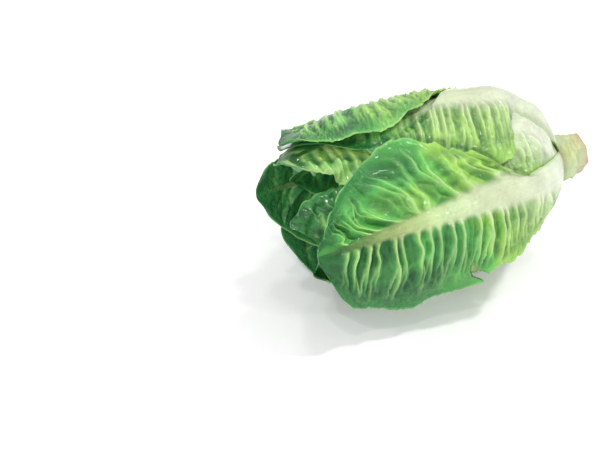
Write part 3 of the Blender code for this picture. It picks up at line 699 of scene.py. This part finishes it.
def leaf_colours(order, grid, rib_share, near, net, painted_hollow_shade, sunk, fresh):
    """Colours of the outer and of the inner face. The hollow shade share is 1 in the hollows between the side
    veins, which are darkened as painted shade, and sunk is that share where they run in under the next leaf,
    darkened as painted shadow; fresh is 1 on a frilled margin."""
    name = LEAVES[order].name
    dress = DRESSES[name]
    x, share = grid.x, grid.share
    bright = pick(grid.rising, dress.brights)
    patch = lattice_noise(x * PATCH_SCALES[0], share * PATCH_SCALES[1] + order, PATCH_SEED + order)
    dark = TO_TIP * smooth_step(*TO_TIP_RANGE, x) + TO_MARGIN * smooth_step(*TO_MARGIN_RANGE, share)
    dark = dark - BRIGHTNESS * bright - FRESHNESS * fresh + LATE * smooth_step(*LATE_RANGE, x)
    dark = dark + PATCHES * (patch - 0.5)
    blade = overlaid(
        YELLOW_GREEN, (MID_GREEN, dark / MID_AT), (DARK_GREEN, (dark - MID_AT) / (1.0 - MID_AT))
    )
    # Painted shade in the hollows between the side veins, fading out towards the margin
    blade = mix(blade, blade * HOLLOW_PAINTED_SHADE, painted_hollow_shade * smooth_step(*PAINTED_SHADE_OUT, share * dress.span))
    # Painted shadow under the next leaf
    blade = mix(blade, PAINTED_SHADE_GREEN, UNDER_LEAF_PAINTED_SHADOW * sunk)

    foot = PALE_FEET.get(name, PALE_FOOT)
    pale_foot = smooth_step(foot, FULLY_PALE * foot, x) * smooth_step(*FOOT_OUT, share)
    whiteness = smooth_step(*WHITE_FOOT, x)
    grain = lattice_noise(grid.reach / RIB_GRAIN_WIDTH, grid.along * RIB_GRAIN_SCALE, GRAIN_SEED + order)
    rib_tint = overlaid(
        PALE, (PALE_GREEN, smooth_step(*RIB_GREENING, x)), (FOOT_WHITE, RIB_WHITENESS * whiteness),
        (STRAW, STRAW_TINT * smooth_band(STRAW_BAND, x)),
    )
    rib_tint = rib_tint * (RIB_GRAIN[0] + RIB_GRAIN[1] * grain)[..., None]
    on_rib = smooth_step(*RIB_EDGE, rib_share)
    on_rib = on_rib * smooth_step(dress.rib_end + RIB_FADE[0], dress.rib_end - RIB_FADE[1], x)
    margin = MARGIN_TINT * smooth_step(MARGIN_EDGE, 1.0, share)

    vein_tint = mix(PALE, PALE_GREEN, VEIN_GREENING[0] * x + VEIN_GREENING[1] * share)
    outer = overlaid(
        blade, (mix(PALE_BLADE, FOOT_WHITE, BLADE_WHITENESS * whiteness), pale_foot),
        (vein_tint, VEIN_TINT * near),
        (vein_tint, NET_TINT * net * (1.0 - near) * smooth_step(*NET_FADE, x)),
        (rib_tint, on_rib),
        # Pale band on a broad rolled margin: partly its paler edge, partly painted highlight
        (PALE_LIP_AND_HIGHLIGHT, PALE_LIP_AND_HIGHLIGHT_SHARE * (dress.lip > LEAST_PALE_LIP) * smooth_step(*PALE_LIP_AND_HIGHLIGHT_OUT, share)),
        (PALE_GREEN, margin),
    )
    on_rib = smooth_step(*INNER_RIB_EDGE, rib_share) * smooth_step(*INNER_RIB_FADE, x)
    # The inner face, with painted shade on the darker leaves
    inner = overlaid(
        blade, (PAINTED_SHADE_GREEN, INNER_PAINTED_SHADE * smooth_step(*INNER_PAINTED_SHADE_BRIGHTS, bright)),
        (PALE_BLADE, np.maximum(INNER_FOOT * pale_foot, smooth_step(*INNER_FOOT_FADE, x))),
        (PALE_GREEN, INNER_VEIN_TINT * near), (rib_tint, INNER_RIB_TINT * on_rib), (PALE_GREEN, margin),
    )
    return outer, inner


stump_low, stump_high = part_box("stump")
CUT_X = stump_high.x
AXIS_Y = (stump_low.y + stump_high.y) / 2.0


def world_points(station, azimuth, radius):
    """Heart coordinates to X, Y and Z in the frame."""
    x = CUT_X - station * np.ones_like(radius)
    y = AXIS_Y - radius * np.cos(azimuth) * WIDE
    z = axis_height(station) + radius * np.sin(azimuth) * FLAT
    return np.stack([x, y, z], axis=-1)


def grid_quads(indices):
    """Faces of a grid of point indices, facing out where its columns run with rising azimuth."""
    corners = [indices[:-1, :-1], indices[:-1, 1:], indices[1:, 1:], indices[1:, :-1]]
    return np.stack(corners, -1).reshape(-1, 4)


def make_piece(name, points, quads, colours, finish):
    """A smooth mesh with a colour for each point."""
    mesh = bpy.data.meshes.new(name)
    mesh.vertices.add(len(points))
    mesh.vertices.foreach_set("co", points.astype(np.float32).ravel())
    mesh.loops.add(quads.size)
    mesh.loops.foreach_set("vertex_index", quads.astype(np.int32).ravel())
    mesh.polygons.add(len(quads))
    mesh.polygons.foreach_set("loop_start", np.arange(0, quads.size, 4, dtype=np.int32))
    mesh.update(calc_edges=True)
    mesh.validate()
    layer = mesh.color_attributes.new("tint", "FLOAT_COLOR", "POINT")
    tint = np.ones((len(points), 4), dtype=np.float32)
    tint[:, :3] = colours
    layer.data.foreach_set("color", tint.ravel())
    mesh.shade_smooth()
    mesh.materials.append(finish)
    piece = bpy.data.objects.new(name, mesh)
    bpy.context.scene.collection.objects.link(piece)
    return piece


def leaf_piece(order):
    """Both faces of the leaf and the rim between them."""
    leaf = LEAVES[order]
    outer, inner, (outer_tint, inner_tint) = leaf_faces(order)
    count = outer.shape[0] * outer.shape[1]
    indices = np.arange(count).reshape(outer.shape[:2])
    loop = np.concatenate([indices[0, :-1], indices[:-1, -1], indices[-1, :0:-1], indices[:0:-1, 0]])
    after = np.roll(loop, -1)
    rim = np.stack([after, loop, loop + count, after + count], -1)
    points = np.concatenate([outer.reshape(-1, 3), inner.reshape(-1, 3)])
    tints = np.concatenate([outer_tint.reshape(-1, 3), inner_tint.reshape(-1, 3)])
    quads = np.concatenate([grid_quads(indices), grid_quads(indices + count)[:, ::-1], rim])
    finish = make_material(leaf.name + "_finish", order, LEAF_FINISH, DRESSES[leaf.name].gloss)
    return make_piece(leaf.name + "_dressed", points, quads, tints, finish)


def set_inputs(shader, values):
    """Constants on a shader's own sockets."""
    for key, value in values.items():
        shader.inputs[key].default_value = value


def node(tree, kind, **settings):
    """A node with the given attributes set."""
    made = tree.nodes.new(kind)
    for key, value in settings.items():
        setattr(made, key, value)
    return made


def noise_node(tree, place, scale, detail):
    """Noise in object space, in metres."""
    made = node(tree, "ShaderNodeTexNoise")
    set_inputs(made, {"Scale": scale, "Detail": detail})
    tree.links.new(place.outputs["Object"], made.inputs["Vector"])
    return made


def range_node(tree, source, low, high):
    """Stretches the middle of a noise to a range of values."""
    made = node(tree, "ShaderNodeMapRange")
    set_inputs(made, {"From Min": NOISE_MIDDLE[0], "From Max": NOISE_MIDDLE[1], "To Min": low, "To Max": high})
    tree.links.new(source, made.inputs["Value"])
    return made


def add_bump(tree, shader, sources, distance, strength):
    """Bump from the sum of the sources."""
    total = sources[0]
    for source in sources[1:]:
        added = node(tree, "ShaderNodeMath", operation="ADD")
        tree.links.new(total, added.inputs[0])
        tree.links.new(source, added.inputs[1])
        total = added.outputs["Value"]
    bump = node(tree, "ShaderNodeBump")
    set_inputs(bump, {"Strength": strength, "Distance": distance})
    tree.links.new(total, bump.inputs["Height"])
    tree.links.new(bump.outputs["Normal"], shader.inputs["Normal"])


def make_material(name, seed, finish, gloss):
    """Coated, a little see-through and finely grained, in the piece's own tint mottled by noise."""
    made = bpy.data.materials.new(name)
    made.use_nodes = True
    tree = made.node_tree
    shader = tree.nodes["Principled BSDF"]
    set_inputs(shader, {**finish.values, "Coat Weight": gloss})
    place = node(tree, "ShaderNodeTexCoord")
    tint = node(tree, "ShaderNodeAttribute", attribute_name="tint")
    broad = noise_node(tree, place, MOTTLE_SCALE + MOTTLE_SCALE_STEP * seed, MOTTLE_DETAIL)
    fleck = noise_node(tree, place, *FLECKS)
    product = node(tree, "ShaderNodeMath", operation="MULTIPLY")
    for number, (noise, spread) in enumerate(((broad, finish.mottle), (fleck, 0.5 * finish.mottle))):
        spreading = range_node(tree, noise.outputs["Fac"], 1.0 - spread, 1.0 + spread)
        tree.links.new(spreading.outputs["Result"], product.inputs[number])
    scaled = node(tree, "ShaderNodeVectorMath", operation="SCALE")
    tree.links.new(tint.outputs["Color"], scaled.inputs[0])
    tree.links.new(product.outputs["Value"], scaled.inputs["Scale"])
    tree.links.new(scaled.outputs["Vector"], shader.inputs["Base Color"])
    rough, smooth = finish.roughness + ROUGHNESS_SPREAD, finish.roughness - ROUGHNESS_SPREAD
    roughness = range_node(tree, broad.outputs["Fac"], rough, smooth)
    tree.links.new(roughness.outputs["Result"], shader.inputs["Roughness"])
    sources = [noise_node(tree, place, *noise).outputs["Fac"] for noise in finish.noises]
    if finish.cells:
        cells = node(tree, "ShaderNodeTexVoronoi", feature="SMOOTH_F1")
        set_inputs(cells, {"Scale": finish.cells})
        tree.links.new(place.outputs["Object"], cells.inputs["Vector"])
        sources.append(cells.outputs["Distance"])
    add_bump(tree, shader, sources, *finish.bump)
    return made


def stump_piece():
    """The stump with trimmed facets, leaf scars stepping round it and a browned, slightly sunken cut face."""
    azimuth, step = np.meshgrid(
        np.linspace(0.0, 2.0 * math.pi, SEGMENTS, endpoint=False), np.arange(RINGS + 1), indexing="xy"
    )
    on_cut = step <= CUT_RINGS
    cut_share = np.clip(step / CUT_RINGS, 0.0, 1.0)
    station = STEM_REACH * np.clip((step - CUT_RINGS) / (RINGS - CUT_RINGS), 0.0, 1.0) ** CROWDING
    radius = np.where(on_cut, stem_radius(0.0) * cut_share, stem_radius(station))
    radius = np.where(step == RINGS, 0.0, radius)
    round_u = np.cos(azimuth) * UNEVEN_SCALE + UNEVEN_SHIFT
    round_v = np.sin(azimuth) * UNEVEN_SCALE + UNEVEN_SHIFT
    uneven = lattice_noise(round_u, round_v, STUMP_SEED) - 0.5

    scars = np.zeros_like(radius)
    tone = np.zeros_like(radius)
    for at, lean, turn in SCARS:
        line = at + lean * np.cos(azimuth - turn) + SCAR_WAVER * uneven
        risen = smooth_step(line - SCAR_HALF_WIDTH, line + SCAR_HALF_WIDTH, station) - 0.5
        scars = scars + SCAR_STEP * risen - SCAR_GROOVE * bell(station - line, SCAR_HALF_WIDTH)
        tone = tone + bell(station - line, SCAR_TONE_WIDTH)
    tone = np.clip(tone, 0.0, 1.0)
    grain = lattice_noise(azimuth * STUMP_GRAIN_SCALE, station / STUMP_GRAIN_LENGTH, STUMP_GRAIN_SEED) - 0.5
    dents = lattice_noise(round_u * DENT_SCALE, station / DENT_LENGTH + round_v, DENT_SEED) - 0.5
    counted = azimuth / (2.0 * math.pi) * FACETS + FACET_LEAN * station * np.sin(azimuth)
    counted = counted + FACET_TURN * smooth_step(FACET_STEP, FACET_STEP + FACET_STEP_LENGTH, station)
    turn = (counted % 1.0 - 0.5) * 2.0 * math.pi / FACETS
    flat = math.cos(math.pi / FACETS) / np.cos(turn) - 1.0
    skin = scars + STUMP_GRAIN * grain + DENT * dents + FACET_DEPTH * STUMP_RADIUS * (flat + FACET_LIFT)
    skin = np.where(on_cut, skin * cut_share**CUT_SKIN_POWER, skin)
    radius = radius + skin * smooth_step(*SKIN_FADE, station)
    edge = np.where(on_cut, smooth_step(*EDGE, cut_share), smooth_step(*SIDE_EDGE, station))
    radius = radius - EDGE_WEAR * edge * edge * cut_share
    sunk = CUT_SINK * smooth_step(1.0, CUT_SINK_EDGE, cut_share) + PITH_SINK * smooth_step(*PITH, cut_share)
    sunk = sunk + CUT_DENT * (dents + 0.5) * cut_share
    points = world_points(station, azimuth, radius)
    points[..., 0] -= np.where(on_cut, sunk, 0.0)
    tint = stump_tint(station, on_cut, cut_share, round_u, round_v, uneven, dents, tone, counted)
    indices = np.arange(points.shape[0] * SEGMENTS).reshape(-1, SEGMENTS)
    quads = grid_quads(np.concatenate([indices, indices[:, :1]], axis=1))
    finish = make_material("stump_finish", STUMP_NOISE, STUMP_FINISH, STUMP_GLOSS)
    return make_piece("stump_dressed", points.reshape(-1, 3), quads, tint.reshape(-1, 3), finish)


def stump_tint(station, on_cut, cut_share, round_u, round_v, uneven, dents, tone, counted):
    """Cream with straw and pale facets, green in the dents and scars, and brown on the cut and its edge."""
    facet = np.floor(counted).astype(int) % FACETS
    plate = np.random.default_rng(PLATE_SEED).random(FACETS)[facet]
    plate_v = station / PLATE_LENGTH + round_v * PLATE_SCALES[1]
    mottling = lattice_noise(round_u * PLATE_SCALES[0] + PLATE_SHIFT, plate_v, PLATE_SEED)
    plate = PLATE_SHARE * plate + (1.0 - PLATE_SHARE) * mottling
    rim = bell(cut_share - RIM[0], RIM[1])
    ring_mark = bell(cut_share - RING_MARK[0], RING_MARK[1])
    browned = np.where(
        on_cut, CUT_BROWN + RIM_BROWN * rim + RING_BROWN * ring_mark,
        SIDE_BROWN * smooth_step(SIDE_BROWN_REACH, 0.0, station),
    )
    blotches = np.clip(BROWN_BASE + BROWN_UNEVEN * uneven + BROWN_DENTS * dents, LEAST_BROWN, 1.0)
    return overlaid(
        CREAM, (0.5 * (CREAM + PALE), smooth_step(0.0, PALER_FROM_CUT, station)),
        (STRAW, PLATE_STRAW * smooth_step(*STRAW_PLATES, plate)),
        (PALE, PLATE_PALE * smooth_step(*PALE_PLATES, plate)),
        (PALE_GREEN, DENT_GREEN * (dents + 0.5) * smooth_step(*DENT_GREEN_FROM, station)),
        (YELLOW_GREEN, SCAR_GREEN * tone), (BROWN, SCAR_BROWN * tone * (0.5 + uneven)),
        (BROWN, browned * blotches),
    )


def area_light(name, place, size, power):
    """A soft square white light aimed at the heart."""
    data = bpy.data.lights.new(name, "AREA")
    data.size = size
    data.energy = power
    lamp = bpy.data.objects.new(name, data)
    lamp.location = place
    lamp.rotation_euler = (HEART - Vector(place)).to_track_quat("-Z", "Y").to_euler()
    bpy.context.scene.collection.objects.link(lamp)


def make_camera():
    """A camera at the photograph's viewing angle, with the heart at the same pixels."""
    data = bpy.data.cameras.new("camera")
    data.lens = LENS
    data.sensor_width = SENSOR
    data.clip_start = CLIP_START
    camera = bpy.data.objects.new("camera", data)
    cos_e, sin_e = math.cos(VIEW_ELEVATION), math.sin(VIEW_ELEVATION)
    cos_a, sin_a = math.cos(VIEW_AZIMUTH), math.sin(VIEW_AZIMUTH)
    back = Vector((sin_a * cos_e, -cos_a * cos_e, sin_e))
    right = Vector((cos_a, sin_a, 0.0))
    up = back.cross(right)
    distance = LENS / SENSOR * IMAGE_WIDTH * METRES_PER_PIXEL
    aside = (TARGET_PIXEL[0] - IMAGE_WIDTH / 2) * METRES_PER_PIXEL
    above = (IMAGE_HEIGHT / 2 - TARGET_PIXEL[1]) * METRES_PER_PIXEL
    camera.location = TARGET + back * distance - right * aside - up * above
    camera.rotation_euler = (-back).to_track_quat("-Z", "Y").to_euler()
    bpy.context.scene.collection.objects.link(camera)
    bpy.context.scene.camera = camera


def make_studio():
    """Camera, floor, world and lights."""
    scene = bpy.context.scene
    make_camera()
    mesh = bpy.data.meshes.new("floor")
    corners = [(x * FLOOR_HALF, y * FLOOR_HALF, 0) for x, y in ((-1, -1), (1, -1), (1, 1), (-1, 1))]
    mesh.from_pydata(corners, [], [(0, 1, 2, 3)])
    finish = bpy.data.materials.new("floor_finish")
    finish.use_nodes = True
    set_inputs(finish.node_tree.nodes["Principled BSDF"], FLOOR_VALUES)
    mesh.materials.append(finish)
    floor = bpy.data.objects.new("floor", mesh)
    scene.collection.objects.link(floor)

    world = bpy.data.worlds.new("studio")
    world.use_nodes = True
    set_inputs(world.node_tree.nodes["Background"], {"Color": (1.0, 1.0, 1.0, 1.0), "Strength": SKY_STRENGTH})
    scene.world = world
    for name, place, size, power in LIGHTS:
        area_light(name, place, size, power)
    for number, place in enumerate(GLINTS):
        area_light(f"glint_{number}", place, GLINT_SIZE, GLINT_POWER)
    scene.view_settings.view_transform = "Standard"
    scene.view_settings.look = "None"


def main():
    """The studio, and the dressed pieces in place of the nodes."""
    make_studio()
    dressed = {"stump": stump_piece()}
    for order, leaf in enumerate(LEAVES):
        dressed[leaf.name] = leaf_piece(order)
    for name, piece in dressed.items():
        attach(piece, "root")
        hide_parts(name)


main()
